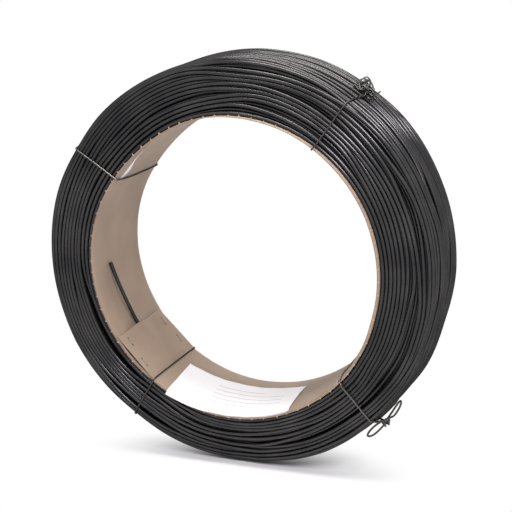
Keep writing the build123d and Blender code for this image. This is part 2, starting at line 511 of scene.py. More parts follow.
def laid_wire():
    """The one laid wire, which the ties also need."""
    if "wire" not in LAID:
        LAID["wire"] = LaidWire(bpy.context.scene.wire_coil_winding)
    return LAID["wire"]


def new_material(name):
    """Material with its node tree and its shader."""
    material = bpy.data.materials.new(name)
    material.use_nodes = True
    tree = material.node_tree
    return material, tree, tree.nodes["Principled BSDF"]


def set_inputs(tree, node, inputs):
    """Links each named input to a socket, or sets it to a value."""
    for name, source in inputs.items():
        if isinstance(source, bpy.types.NodeSocket):
            tree.links.new(source, node.inputs[name])
        else:
            node.inputs[name].default_value = source


def add_node(tree, kind, inputs, **settings):
    """Outputs of a new node."""
    node = tree.nodes.new(kind)
    for name, value in settings.items():
        setattr(node, name, value)
    set_inputs(tree, node, inputs)
    return node.outputs


def object_place(tree):
    return add_node(tree, "ShaderNodeTexCoord", {})["Object"]


def noise(tree, place, scale, detail):
    """Soft random patches from 0 to 1."""
    inputs = {"Vector": place, "Scale": scale, "Detail": detail}
    return add_node(tree, "ShaderNodeTexNoise", inputs)["Fac"]


def shades(tree, value, dark, pale, low=0.0, high=1.0):
    """Colour that goes from dark to pale between two values."""
    node = tree.nodes.new("ShaderNodeValToRGB")
    first, last = node.color_ramp.elements
    first.position, last.position = low, high
    first.color, last.color = (*dark, 1), (*pale, 1)
    set_inputs(tree, node, {"Fac": value})
    return node.outputs["Color"]


def spread(tree, value, low, high):
    """A value of 0 to 1 spread over low to high."""
    inputs = {"Value": value, "To Min": low, "To Max": high}
    return add_node(tree, "ShaderNodeMapRange", inputs)["Result"]


def moved(tree, place, location, scale):
    """A place scaled, then moved."""
    inputs = {"Vector": place, "Location": location, "Scale": scale}
    return add_node(tree, "ShaderNodeMapping", inputs)["Vector"]


def distance(tree, place):
    """Distance of a place from the origin."""
    return add_node(tree, "ShaderNodeVectorMath", {0: place}, operation="LENGTH")["Value"]


def reckon(tree, operation, first, second):
    """Result of an operation on two values."""
    return add_node(tree, "ShaderNodeMath", {0: first, 1: second}, operation=operation)[0]


def relief(tree, height, strength, depth):
    """Fine unevenness of a surface, depth in metres."""
    inputs = {"Height": height, "Strength": strength, "Distance": depth}
    return add_node(tree, "ShaderNodeBump", inputs)["Normal"]


def plain_material(name, colour, roughness, metallic=0.0):
    """One even colour all over."""
    material, tree, shader = new_material(name)
    inputs = {"Base Color": (*colour, 1), "Roughness": roughness, "Metallic": metallic}
    set_inputs(tree, shader, inputs)
    return material


def steel_material(name, colour):
    """Drawn steel: fine lines along the wire, patches of dull oxide."""
    material, tree, shader = new_material(name)
    place = object_place(tree)
    patches = noise(tree, place, 28.0, 5.0)
    dark = (colour[0] * 0.7, colour[1] * 0.7, colour[2] * 0.72)
    pale = (colour[0] * 1.35, colour[1] * 1.33, colour[2] * 1.28)
    radius = distance(tree, moved(tree, place, (0.0, 0.0, -AXIS_Z * MM), (1.0, 0.0, 1.0)))
    y = add_node(tree, "ShaderNodeSeparateXYZ", {"Vector": place})["Y"]
    across = add_node(tree, "ShaderNodeCombineXYZ", {"X": radius, "Y": y})["Vector"]
    set_inputs(tree, shader, {
        "Metallic": 0.75,
        "Specular IOR Level": 0.0,
        "Specular Tint": (0.3, 0.3, 0.3, 1),
        "Base Color": shades(tree, patches, dark, pale, 0.3, 0.75),
        "Roughness": spread(tree, patches, 0.14, 0.33),
        "Normal": relief(tree, noise(tree, across, 1400.0, 2.0), 0.008, 0.0002),
    })
    return material


def board_material(name, colour, light=1.0):
    """Brown kraft board: fine fibres over soft blotches."""
    material, tree, shader = new_material(name)
    place = object_place(tree)
    fibre = noise(tree, place, 700.0, 4.0)
    dark = [c * 0.86 * light for c in colour]
    pale = [c * 1.1 * light for c in colour]
    blotches = shades(tree, noise(tree, place, 22.0, 6.0), dark, pale, 0.3, 0.72)
    inputs = {0: blotches, "Scale": spread(tree, fibre, 0.86, 1.12)}
    mix = add_node(tree, "ShaderNodeVectorMath", inputs, operation="SCALE")["Vector"]
    normal = relief(tree, fibre, 0.25, 0.0003)
    set_inputs(tree, shader, {"Base Color": mix, "Roughness": 0.65, "Normal": normal})
    return material


def paper_material():
    """White label paper with a faint grain."""
    material, tree, shader = new_material("label_paper")
    grain = noise(tree, object_place(tree), 260.0, 4.0)
    white = shades(tree, grain, (0.85, 0.85, 0.86), (0.92, 0.92, 0.92))
    normal = relief(tree, grain, 0.08, 0.0002)
    set_inputs(tree, shader, {"Base Color": white, "Roughness": 0.55, "Normal": normal})
    return material


class WIRECOIL_OT_winding(bpy.types.Operator):
    """Lay the turns of wire that show, over a plain dark core"""

    bl_idname = "wirecoil.winding"
    bl_label = "Winding"

    def execute(self, context):
        laid = laid_wire()
        steel = steel_material("drawn_steel", context.scene.wire_coil_winding.steel)
        last = FACE_TURNS + RIM_TURNS
        outer = [laid.turn(along, depth, 12, 1) for along, depth in zip(laid.along, laid.depth)]
        self.turns("turns_front", outer[:FACE_TURNS], steel)
        self.turns("turns_rim", outer[FACE_TURNS:last], steel)
        self.turns("turns_back", outer[last:], steel)
        below = zip(laid.under_along, laid.under_depth)
        self.turns("turns_under", [laid.turn(along, depth, 6, 2) for along, depth in below], steel)
        self.core(laid, steel)
        return {"FINISHED"}

    def turns(self, name, parts, steel):
        """One piece out of several turns."""
        size = len(parts[0][0])
        verts = np.concatenate([part[0] for part in parts])
        faces = np.concatenate([part[1] + size * k for k, part in enumerate(parts)])
        piece = add_object(name, verts.tolist(), faces.tolist(), "steel_wire", steel)
        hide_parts("wire_coil")

    def core(self, laid, steel):
        """A plain ring behind the turns that show."""
        deep = 2.0 * laid.wire
        low, high = laid.inner_r + 0.2, RIM_R - deep
        half, steps = laid.settings.rim_half - deep - 1.5, 96
        ring = [(low, deep - WINDING_HALF), (high, -half), (high, half), (low, WINDING_HALF - deep)]
        verts, faces = ring_sweep([ring] * steps, [360 * i / steps for i in range(steps)])
        piece = add_object("winding_core", verts, faces, "steel_wire", steel, smooth=False)
        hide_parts("wire_coil")


BOARD_THICK = 3.0
BORE_R = LINER_R - BOARD_THICK
# Where the board's edges lie, and the farthest out that anything on them stands, in mm.
EDGE_Y, OUTERMOST_Y = 57.0, 57.4
NOTCHES = (56.2, 146.9, 235.2, 317.2)
NICKS = 75
FLAP_ROOT, FLAP_TIP = 235.9, 214.0
FLAP_THICK = 1.2
# The bore's edges are rounded outwards: how far, and over which width, in mm.
EDGE_CURL, CURL_WIDTH = 1.15, 1.6
# Where the front edge doesn't curl, because the flap lies on it: angle, share.
UNDER_FLAP = ((210, 0.0), (215, 1.0), (234, 1.0), (238, 0.0))
# Where the front edge is rolled back by a further 0.9 mm: angle, share.
ROLLED_BACK = ((86, 0.0), (105, 1.0), (148, 1.0), (160, 0.0))
# Angle, width and depth of the groove that the lower right tie has pressed into the front edge.
TIE_GROOVE = (317.6, 0.8, 2.3)
# Where the film starts along the front edge and how far it reaches, in degrees.
FILM_START, FILM_REACH = 131.5, 16.8


def board_shift(angle, y):
    """How far the board stands outwards of its plain ring, in mm."""
    middle, width, pushed = PUSHED_IN
    pressed = blend_between(angle, PRESSED_OUT) * within((-5 - y) / 52) ** 1.3
    return pressed - pushed * bell(angle, middle, width)


def wall_radius(angle, y):
    """Inner face of the board ring, with its soft edges and slow waves."""
    a = math.radians(angle)
    wave = 0.12 * math.sin(3 * a + 0.7) + 0.07 * math.sin(11 * a + 2.1)
    wave += 0.04 * math.sin(23 * a + 0.3 * y / 10)
    from_edge = EDGE_Y - abs(y)
    flare = EDGE_CURL * math.exp(-max(from_edge, 0) / CURL_WIDTH)
    if y < 0:
        flare *= 1 - blend_between(angle, UNDER_FLAP)
        flare += blend_between(angle, ROLLED_BACK) * 0.9 * within((10.5 - from_edge) / 2.2)
        groove_angle, groove_width, depth = TIE_GROOVE
        flare += depth * bell(angle, groove_angle, groove_width) * within((-38 - y) / 14)
    return BORE_R + flare - 0.13 + wave + board_shift(angle, y)


def flap_root(y):
    """Angle of the flap's fold, which isn't quite square to the edges."""
    return FLAP_ROOT - 0.8 * (y + 57) / 114


def flap_point(share, y, depth=0.0):
    """Point on the flap's inner face, share 0 at the fold and 1 at its tip."""
    tip = math.radians(FLAP_TIP + 0.25 * math.sin(y / 9))
    root = math.radians(flap_root(y))
    lift = 0.2 + 4.1 * bell(y, -7.5, 12.0) + 0.5 * bell(y, 34, 12)
    fold, reach = BORE_R - 0.1, BORE_R - lift - FLAP_THICK
    x = fold * math.cos(root) * (1 - share) + reach * math.cos(tip) * share
    z = fold * math.sin(root) * (1 - share) + reach * math.sin(tip) * share
    sag = 0.25 * math.sin(share * 5 + y / 17) * share * (1 - share) * 2
    radius = math.hypot(x, z) + sag + depth * min(share * 6, 1)
    return on_coil(min(radius, BORE_R + 0.2), math.degrees(math.atan2(z, x)) % 360, y)


class WIRECOIL_OT_liner(bpy.types.Operator):
    """Build the board ring, its lapped flap, its nicked edges and a pale film sliver under a tie,
    whose colour is a painted reflection
    """

    bl_idname = "wirecoil.liner"
    bl_label = "Liner"

    def execute(self, context):
        s = context.scene.wire_coil_liner
        board = board_material("kraft_board", s.board)
        raw = board_material("raw_edge", s.board, 1.6)
        self.ring(board)
        self.flap(board)
        self.nicks(raw)
        self.film()
        return {"FINISHED"}

    def edge_y(self, angle):
        """Where the board's rough edge lies, cut in where the ties cross it."""
        cut = max(bell(angle, notch, 0.55) for notch in NOTCHES)
        rough = 0.18 * math.sin(angle * 1.9) + 0.12 * math.sin(angle * 5.3 + 1)
        return EDGE_Y - 2.0 * cut + min(rough, 0.2) - 0.2

    def ring(self, board):
        """The board's full round, with more rows near its edges."""
        angles = [360 * i / 480 for i in range(480)]
        steps = (0, 0.5, 1.5, 3, 5.5, 8, 9.5, 11, 16, 26, 40)
        crush_angle, crush_width, crush = CRUSH
        outside = LINER_R - 0.15
        sections = []
        for angle in angles:
            edge = self.edge_y(angle)
            ys = [-edge + step for step in steps] + [0] + [edge - step for step in reversed(steps)]
            inner = [(wall_radius(angle, y), y) for y in ys]
            outer = [(outside + board_shift(angle, y), y) for y in (edge - 0.3, 30, 0, -30, -46)]
            crushed = crush * bell(angle, crush_angle, crush_width)
            outer.append((outside - crushed + board_shift(angle, -edge), 0.3 - edge))
            sections.append(inner + outer)
        verts, faces = ring_sweep(sections, angles)
        piece = add_object("liner_ring", verts, faces, "board", board)
        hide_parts("core_liner")

    def flap(self, board):
        """The board's end, lapped inwards, with its back edge cut askew."""

        def at(share, across, depth=0.0):
            return flap_point(share, (113.2 - 5.5 * share) * across - 57.2, depth)

        front = grid(30, 70, at)
        back = grid(30, 70, lambda share, across: at(share, across, FLAP_THICK))
        verts, faces = sheet(front, back)
        piece = add_object("liner_flap", verts, faces, "board", board)
        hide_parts("core_liner")

    def nicks(self, raw):
        """Torn bridges of the perforation, one every few degrees along both edges."""
        rng = np.random.default_rng(5)
        parts = []
        for side in (-1, 1):
            for i in range(NICKS):
                angle = 360 * i / NICKS + rng.uniform(-0.35, 0.35)
                if min(abs(off_angle(angle, notch)) for notch in NOTCHES) < 1.2:
                    continue
                width, rise = rng.uniform(0.3, 0.5), rng.uniform(1.0, 2.0)
                y = side * (self.edge_y(angle) - 0.35)
                outer_y = side * min(abs(y) + rng.uniform(0.2, 0.5), OUTERMOST_Y)
                outwards = board_shift(angle, y)
                low, high = LINER_R - 1.2 + outwards, LINER_R + rise - 0.4 + outwards
                verts = [
                    on_coil(low, angle - width, y), on_coil(low, angle + width, y),
                    on_coil(low, angle + width, outer_y), on_coil(low, angle - width, outer_y),
                    on_coil(high, angle + rng.uniform(-0.3, 0.3), (y + outer_y) / 2),
                ]
                parts.append((verts, [(0, 1, 2, 3), (0, 4, 1), (1, 4, 2), (2, 4, 3), (3, 4, 0)]))
        verts, faces = join(parts)
        piece = add_object("edge_nicks", verts, faces, "board", raw, smooth=False)
        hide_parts("core_liner")

    def film(self):
        """A sliver of packing film along the front edge, drawn as an opaque pale bluish sheet whose
        colour is a painted reflection.
        """

        def at(share, across, depth=0.0):
            bulge = math.sin(math.pi * share ** 2.8) ** 0.9
            y = 9.0 * bulge - 45.0 + (1.0 + 11.0 * bulge) * (across - 0.5)
            angle = FILM_START + FILM_REACH * share
            rise = 0.12 + 0.25 * math.sin(math.pi * across) - depth
            return on_coil(wall_radius(angle, y) - rise, angle, y)

        # Pale bluish colour standing in for light caught on the film: painted reflection.
        film = plain_material("film_painted_reflection", (0.62, 0.66, 0.72), 0.18)
        front = grid(25, 7, at)
        back = grid(25, 7, lambda share, across: at(share, across, 0.08))
        verts, faces = sheet(front, back)
        piece = add_object("film_sliver_painted_reflection", verts, faces, "paper", film)
        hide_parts("core_liner")


# The tail's ends and where it goes under the flap, as (angle, y), and half its thickness in mm.
TAIL_TIP = (186.3, -21.0)
TAIL_UNDER = (214.5, -8.2)
TAIL_END = (221.0, -5.0)
TAIL_R = 1.95


class WIRECOIL_OT_tail(bpy.types.Operator):
    """Lay the inner end of the wire on the liner, its end under the flap"""

    bl_idname = "wirecoil.tail"
    bl_label = "Wire tail"

    def execute(self, context):
        s = context.scene.wire_coil_winding
        steel = steel_material("tail_steel", s.steel)
        on_board = BORE_R - TAIL_R - 0.3
        tip, under, end = [Vector(on_coil(on_board, *place))
                           for place in (TAIL_TIP, TAIL_UNDER, TAIL_END)]
        bend = Vector((0.0, -2.6 * MM, 0.0))
        points = [tip.lerp(under, share) + bend * 4 * share * (1 - share)
                  for share in (0.0, 0.25, 0.5, 0.75, 0.93)]
        points += [under.lerp(end, 0.35), end]
        verts, faces = tube(smooth_path(points, 12), TAIL_R * MM, 18)
        piece = add_object("tail_wire", verts, faces, "steel_wire", steel)
        self.sharpen(piece)
        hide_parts("wire_tail")
        return {"FINISHED"}

    def sharpen(self, piece):
        """The two cut ends stay flat."""
        for polygon in piece.data.polygons:
            if len(polygon.vertices) > 4:
                polygon.use_smooth = False


# The two legs of each staple, as (angle, y).
STAPLES = (
    ((217.4, 40.6), (220.6, 38.6)), ((226.8, 43.2), (229.9, 41.9)),
    ((216.4, -42.8), (220.1, -44.6)), ((226.4, -48.6), (230.1, -49.6)),
)
# How deep a staple lies in the flap at each share of its way, in mm.
CROWN = (
    (0.0, 1.0), (0.06, 0.1), (0.16, -0.22), (0.5, -0.22), (0.84, -0.22), (0.94, 0.1), (1.0, 1.0),
)


class WIRECOIL_OT_staples(bpy.types.Operator):
    """Press four staples through the flap, with near-black slits at their legs as painted shade"""

    bl_idname = "wirecoil.staples"
    bl_label = "Staples"

    def execute(self, context):
        steel = plain_material("staple_steel", (0.26, 0.22, 0.18), 0.5, metallic=0.7)
        # Near-black slits where the legs pierce the flap: painted shade in the holes.
        dark = plain_material("staple_hole_painted_shade", (0.03, 0.022, 0.018), 0.9)
        parts, shaded_slits = [], []
        for (angle_a, y_a), (angle_b, y_b) in STAPLES:
            line = []
            for share, depth in CROWN:
                y = y_a + (y_b - y_a) * share
                root = flap_root(y)
                along = (root - angle_a - (angle_b - angle_a) * share) / (root - FLAP_TIP)
                line.append(flap_point(along, y, depth))
            parts.append(tube(smooth_path(line, 4), 0.45 * MM, 8))
            for end in (line[1], line[-2]):
                beside = line[3]
                slit = [tuple(e + (b - e) * step for e, b in zip(end, beside))
                        for step in (-0.22, 0.0, 0.12)]
                shaded_slits.append(tube(slit, 0.8 * MM, 6))
        piece = add_object("staple_crowns", *join(parts), "staple_wire", steel)
        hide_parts("flap_staples")
        piece = add_object("staple_slits_painted_shade", *join(shaded_slits), "staple_wire", dark)
        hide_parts("flap_staples")
        return {"FINISHED"}


# The label's front edge and its width in mm, and how much wider it is towards its right end.
LABEL_FRONT_Y, LABEL_WIDTH, LABEL_SPREAD = -57.1, 75.8, 3.6
# Angle at which the label starts, its reach, and how far its back edge is turned, in degrees.
LABEL_START, LABEL_REACH, LABEL_SKEW = 242.7, 51.1, 2.9
# How far the back edge stands off the board in mm.
LABEL_STAND = 3.4
# Height of the fold over the front edge, and the share of the label where it ends.
FOLD_HEIGHT, FOLD_STOP = 5.2, 0.36
# Each rule: its place across the label and the shares of the label's length it runs between.
LABEL_RULES = (
    (0.30, 0.30, 0.62), (0.42, 0.30, 0.86), (0.54, 0.30, 0.86), (0.66, 0.30, 0.86),
    (0.78, 0.30, 0.70),
)


class WIRECOIL_OT_label(bpy.types.Operator):
    """Stick the paper label on the inside of the liner, one corner bent over the front edge"""

    bl_idname = "wirecoil.label"
    bl_label = "Label"

    def execute(self, context):
        front = grid(110, 40, self.on_sheet)
        back = grid(110, 40, lambda share, across: self.on_sheet(share, across, 0.22))
        for i, (row_front, row_back) in enumerate(zip(front, back)):
            over_front, over_back = self.fold(i / (len(front) - 1), row_front[0], row_back[0])
            row_front[:0], row_back[:0] = over_front, over_back
        piece = add_object("label_sheet", *sheet(front, back), "paper", paper_material())
        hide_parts("paper_label")
        self.rules()
        return {"FINISHED"}

    def place(self, share, across, beside=0.0):
        """Radius, angle and y of a place on the label, which is stuck on slightly askew."""
        y = LABEL_FRONT_Y + (LABEL_WIDTH + LABEL_SPREAD * share) * across + beside
        angle = LABEL_START + LABEL_REACH * share - LABEL_SKEW * across
        cockle = 0.16 * math.sin(share * 17 + across * 3) + 0.1 * math.sin(share * 41 + across * 7)
        stand = LABEL_STAND * across * across * max(math.sin(math.pi * share), 0.0) ** 0.7
        return wall_radius(angle, y) + cockle - stand, angle, y

    def on_sheet(self, share, across, depth=0.0):
        """Point on the label, whose two ends curl up a little."""
        curl = 1.1 * math.exp(-share / 0.012) * across + 0.7 * math.exp((share - 1) / 0.012)
        radius, angle, y = self.place(share, across)
        return on_coil(radius - 0.5 - curl + depth, angle, y)

    def fold(self, share, front, back):
        """The four points of a row that bend over the board's front edge, most at the left end."""
        height = max(0.0, FOLD_HEIGHT * (1 - share / FOLD_STOP))
        if height == 0:
            return [front] * 4, [back] * 4
        angle = self.place(share, 0)[1]
        base = wall_radius(angle, LABEL_FRONT_Y) - 0.3
        over_front, over_back = [], []
        for k in range(4):
            rise, inwards = height * (1 - k / 4), 0.02 * k
            over_front.append(on_coil(base + rise, angle, -57.45 + inwards))
            over_back.append(on_coil(base + rise + 0.02, angle, -57.25 + inwards))
        return over_front, over_back

    def rules(self):
        """Plain grey rules along the label."""
        ink = plain_material("rule_ink", (0.38, 0.39, 0.41), 0.6)
        parts = []
        for across, start, stop in LABEL_RULES:
            front, back = [], []
            for i in range(31):
                share = start + (stop - start) * i / 30
                row = [self.place(share, across, beside) for beside in (-0.35, 0.35)]
                front.append([on_coil(r - 0.57, angle, y) for r, angle, y in row])
                back.append([on_coil(r - 0.52, angle, y) for r, angle, y in row])
            parts.append(sheet(front, back))
        piece = add_object("label_rules", *join(parts), "paper", ink)
        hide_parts("paper_label")


# Each tie: its angle on the rim, on the faces near the core and near the rim (front, back),
# and its way through the bore from the front edge to the back edge as (angle, radius, y).
TIE_WAYS = {
    "tie_upper_right": (55.2, (56.0, 56.4), (56.6, 56.0), (
        (56.2, 156.0, -56.5), (56.3, 152.0, -55.9), (56.5, 151.6, -50), (56.6, 151.6, 50),
        (56.6, 152.0, 55.9), (56.6, 156.0, 56.5))),
    "tie_upper_left": (149.0, (147.0, 149.0), (149.6, 149.2), (
        (146.9, 152.6, -56.5), (147.0, 148.5, -55.9), (147.4, 148.0, -50), (148.4, 148.1, -35),
        (149.3, 148.3, -10), (149.8, 148.4, 24), (149.9, 148.4, 50), (149.6, 148.7, 55.9),
        (149.6, 152.8, 56.5))),
    "tie_lower_left": (236.8, (236.1, 236.3), (235.2, 236.4), (
        (236.1, 156.0, -56.5), (236.0, 152.0, -55.9), (235.9, 151.5, -50), (235.7, 151.4, -28),
        (235.4, 151.4, 14), (235.2, 151.5, 51), (235.2, 152.0, 55.9), (235.2, 156.0, 56.5))),
    "tie_lower_right": (315.0, (317.3, 314.4), (317.5, 315.4), (
        (317.3, 161.0, -56.6), (317.2, 156.6, -54.5), (317.6, 155.2, -47), (318.5, 153.7, -42),
        (319.5, 153.0, -37), (321.0, 151.8, -18), (322.2, 151.0, 5), (320.8, 151.5, 32),
        (318.2, 151.8, 52), (317.6, 152.0, 55.9), (317.5, 156.0, 56.5))),
}

# The two ties drawn in the darker copy of the tie steel, near the winding's tone, as painted shade.
SHADED_TIES = ("tie_upper_right", "tie_lower_left")
# How far the rim stands out under the knot, and the knot's strands as (along the rim, y, height).
OVAL_AT_KNOT = 1.8
KNOT_LOOPS = (
    ((10.7, 2.0, 0.9), (10.8, 4.0, 3.6), (9.9, 6.0, 7.4), (8.4, 8.0, 11.2), (7.2, 9.0, 13.2),
     (5.0, 9.0, 13.4), (1.8, 8.0, 12.4), (-1.4, 6.0, 11.5), (-4.3, 4.0, 10.0), (-4.4, 2.0, 7.6)),
    ((11.6, 5.0, 0.9), (11.1, 6.0, 5.0), (9.3, 8.0, 9.5), (5.9, 8.0, 11.0), (4.5, 6.0, 8.0),
     (5.6, 3.0, 3.9), (8.3, 2.0, 1.3), (11.5, 4.0, 0.9), (10.8, 7.0, 2.7)),
    ((8.0, 0.0, 1.1), (3.0, -1.0, 1.7), (0.9, 1.0, 6.1), (0.2, 4.0, 11.0), (2.8, 6.0, 11.9),
     (5.9, 7.0, 7.8), (8.0, 6.0, 3.7), (10.4, 5.0, 1.8)),
    ((3.7, -2.0, 2.3), (3.0, 1.0, 6.6), (1.3, 4.0, 9.0), (-3.5, 3.0, 9.5), (-6.8, 1.0, 9.2),
     (-5.5, -1.0, 7.9), (-0.9, -2.0, 7.6), (4.7, 0.0, 6.8), (9.2, 4.0, 6.1)),
    ((9.6, 3.0, 2.0), (8.0, 6.0, 6.0), (6.4, 8.0, 9.4), (3.6, 8.0, 9.0), (4.0, 5.0, 6.2),
     (6.8, 3.0, 5.4), (8.8, 5.0, 4.4)),
    ((6.6, 2.0, 8.6), (3.4, 4.0, 10.2), (0.2, 5.0, 8.6), (-2.6, 3.0, 6.2), (-1.2, 1.0, 4.4),
     (2.0, 3.0, 5.6), (5.2, 5.0, 6.4)),
    ((4.6, 5.0, 2.5), (5.8, 8.0, 6.3), (5.4, 10.0, 10.8), (1.5, 9.0, 11.0), (-0.8, 6.0, 7.8),
     (-0.3, 3.0, 4.1), (2.6, 2.0, 2.9)),
)
KNOT_ENDS = (
    ((-1.9, -3.0, 6.1), (-5.8, -3.0, 6.7), (-9.4, -1.0, 7.3), (-10.9, 3.0, 8.5),
     (-11.4, 8.0, 10.2)),
    ((-1.8, -16.0, 0.9), (-3.5, -11.0, 0.9), (-3.7, -7.0, 3.1), (-2.3, -3.0, 5.6),
     (-0.8, 1.0, 8.0)),
)
# Strands of the bow as (angle, radius, y), read along each.
BOW_STRANDS = (
    ((314.4, 209.6, -39.5), (314.7, 211.2, -38.6), (315.6, 213.2, -38.4), (316.9, 215.6, -38.8),
     (317.8, 217.6, -39.6), (317.6, 219.8, -38.6), (316.6, 219.6, -36.9), (316.6, 217.2, -36.6),
     (317.4, 216.4, -38.0), (318.6, 217.4, -39.6), (320.0, 219.2, -40.2), (321.6, 218.8, -40.4),
     (323.0, 217.8, -40.0), (324.1, 216.2, -38.8), (324.3, 214.6, -37.2), (323.5, 213.8, -35.9),
     (322.2, 214.2, -35.8), (320.4, 215.2, -36.4), (318.8, 216.2, -36.8), (317.6, 217.0, -37.2)),
    ((315.2, 210.6, -30.0), (315.9, 212.6, -33.4), (316.6, 215.0, -36.0), (317.0, 217.0, -38.8),
     (316.4, 218.8, -40.0), (315.2, 219.4, -40.2), (313.6, 219.9, -40.6), (312.0, 219.9, -40.4),
     (310.7, 218.6, -39.4), (310.4, 216.8, -38.0), (311.2, 215.2, -37.0), (312.6, 214.2, -36.8),
     (314.2, 214.0, -37.0), (315.8, 214.8, -37.2), (316.8, 216.0, -38.2), (317.9, 216.6, -39.2),
     (318.2, 218.4, -38.2), (317.5, 220.4, -37.4), (316.9, 222.4, -37.8)),
    ((317.9, 216.2, -38.6), (317.0, 215.9, -40.0), (316.2, 217.0, -39.2), (316.4, 218.4, -37.6),
     (317.5, 218.6, -36.8), (318.2, 217.6, -38.0), (317.6, 217.2, -39.6), (316.6, 218.6, -39.8),
     (316.2, 220.4, -39.0), (316.2, 221.8, -38.8)),
)


class WIRECOIL_OT_ties(bpy.types.Operator):
    """Draw the four tie wires round winding and liner, with a bow and a knot at their ends"""

    bl_idname = "wirecoil.ties"
    bl_label = "Ties"

    def execute(self, context):
        s = context.scene.wire_coil_ties
        # Lit and shaded copies of one tie steel: the lighter is painted highlight on two ties, the
        # darker, at 0.6, painted shade on the other two, the bow and the knot.
        steel = steel_material("tie_steel_painted_lit", s.steel)
        shaded_steel = steel_material("tie_steel_painted_shade", [0.6 * c for c in s.steel])
        radius = s.diameter / 2
        for name, way in TIE_WAYS.items():
            finish = shaded_steel if name in SHADED_TIES else steel
            verts, faces = tube(self.wrap(way, radius), radius * MM, 10, closed=True)
            piece = add_object(name + "_wire", verts, faces, "tie_wire", finish)
            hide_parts(name)
            if name == "tie_lower_right":
                bow = [self.strand(line, radius * 1.3) for line in BOW_STRANDS]
                self.ends("bow_ends", bow, shaded_steel, name)
            if name == "tie_upper_right":
                self.ends("knot_ends", self.knot(radius * 0.95), shaded_steel, name)
        return {"FINISHED"}

    def ends(self, name, parts, steel, tie):
        """The bow or the knot in which a tie ends."""
        piece = add_object(name, *join(parts), "tie_wire", steel)
        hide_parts(tie)

    def strand(self, line, radius):
        """One strand of the bow."""
        return tube(smooth_path([on_coil(r, a, y) for a, r, y in line], 6), radius * MM, 10)

    def wrap(self, way, radius):
        """The tie's closed way: tight round the turns at its angle, then through the bore."""
        rim, front, back, inside = way
        reach = laid_wire().wire_r + radius
        around = np.arange(12) * math.pi / 6
        cloud = []
        widest = OUTERMOST_Y - radius
        for r, y in laid_wire().outline_at(rim):
            cloud.extend((round(r + reach * math.cos(a), 3), round(y + reach * math.sin(a), 3))
                         for a in around)
        cloud = [(r, float(np.clip(y, -widest, widest))) for r, y in cloud]
        start, stop = (inside[0][1], inside[0][2]), (inside[-1][1], inside[-1][2])
        outline = hull(cloud + [start, stop])
        turn = outline.index(start)
        outline = outline[turn:] + outline[:turn]
        if outline[1] == stop:
            outline = outline[:1] + outline[:0:-1]
        path = []
        for (ra, ya), (rb, yb) in zip(outline, outline[1:]):
            steps = max(1, int(math.hypot(rb - ra, yb - ya) / 4))
            for k in range(steps):
                r, y = ra + (rb - ra) * k / steps, ya + (yb - ya) * k / steps
                path.append(on_coil(r, self.angle_at(rim, front, back, r, y), y))
        inner = smooth_path([on_coil(*place) for place in self.filled(inside[::-1])], 4)
        return path + inner[:-1]

    def filled(self, inside):
        """The way through the bore as (radius, angle, y), its long spans cut into short ones."""
        places = []
        for (angle_a, r_a, y_a), (angle_b, r_b, y_b) in zip(inside, inside[1:]):
            pieces = max(1, round(abs(y_b - y_a) / 5))
            for k in range(pieces):
                share = k / pieces
                places.append((r_a + (r_b - r_a) * share, angle_a + (angle_b - angle_a) * share,
                               y_a + (y_b - y_a) * share))
        angle, r, y = inside[-1]
        return places + [(r, angle, y)]

    def angle_at(self, rim, front, back, r, y):
        """The tie's angle, which drifts from the core over the shoulder to the rim."""
        core, edge = front if y < 0 else back
        if r < RIM_R - 4:
            return core + (edge - core) * (r - BORE_R) / (RIM_R - 4 - BORE_R)
        return rim + (edge - rim) * min(abs(y) / 43, 1)

    def knot(self, radius):
        """The upper right tie's ends: a standing ring, a small tangle and a cut tail."""

        def at(t, y, h):
            return on_coil(RIM_R + OVAL_AT_KNOT + h, 56.0 + math.degrees(t / RIM_R), y)

        parts = []
        for size, lean in ((4.0, 0.7), (4.7, -0.6)):
            ring = [at(-6.7 + size * math.cos(a), -5.0 + lean * math.sin(2 * a),
                       5.6 + size * math.sin(a)) for a in np.arange(10) * math.pi / 5]
            path = smooth_path(ring, 5, closed=True)
            parts.append(tube(path, radius * MM, 8, closed=True))
        for loop in KNOT_LOOPS:
            path = smooth_path([at(*place) for place in loop], 6, closed=True)
            parts.append(tube(path, radius * MM, 8, closed=True))
        for end in KNOT_ENDS:
            path = smooth_path([at(*place) for place in end], 6)
            parts.append(tube(path, radius * MM, 8))
        return parts


# The camera's lens and sensor in mm, and its shift.
LENS, SENSOR, SHIFT = 136.7, 36.0, (0.0102, -0.0017)
# Each lamp: place, direction of its long side, length and width in metres, watts, colour.
WARM_WHITE, COOL_WHITE = (1.0, 0.97, 0.93), (0.97, 0.95, 1.0)
LAMPS = {
    "key": ((0.88, -1.05, 1.45), (0.45, 0.80, 0.40), 1.4, 0.28, 31.0, COOL_WHITE),
    "top": ((0.06, -0.04, 1.95), (1.0, 0.0, 0.0), 1.3, 0.6, 42.0, WARM_WHITE),
    "rear": ((-0.35, 1.25, 1.60), (1.0, 0.0, 0.0), 1.1, 0.8, 12.4, WARM_WHITE),
}
# Light of the world on the object, and half the floor's side in metres.
WORLD_FILL = 0.12
FLOOR_HALF = 12.0
# Place and scale of the oval in which the floor shows its shadows.
SHADOW_PLACE, SHADOW_SCALE = (-0.1, 0.62, 0.0), (4.8, 6.2, 1.0)


def sees_white(tree):
    """1 for the rays that meet the white background instead of a lit surface."""
    rays = add_node(tree, "ShaderNodeLightPath", {})
    straight = reckon(tree, "MAXIMUM", rays["Is Camera Ray"], rays["Is Glossy Ray"])
    return reckon(tree, "MAXIMUM", straight, rays["Is Transmission Ray"])


def mixed(tree, share, first, second):
    """Shader that is the first at share 0 and the second at share 1."""
    return add_node(tree, "ShaderNodeMixShader", {"Fac": share, 1: first, 2: second})["Shader"]


def glow(tree, kind, strength):
    """White light of a strength, from a background or an emission node."""
    return add_node(tree, kind, {"Color": (1, 1, 1, 1), "Strength": strength})[0]


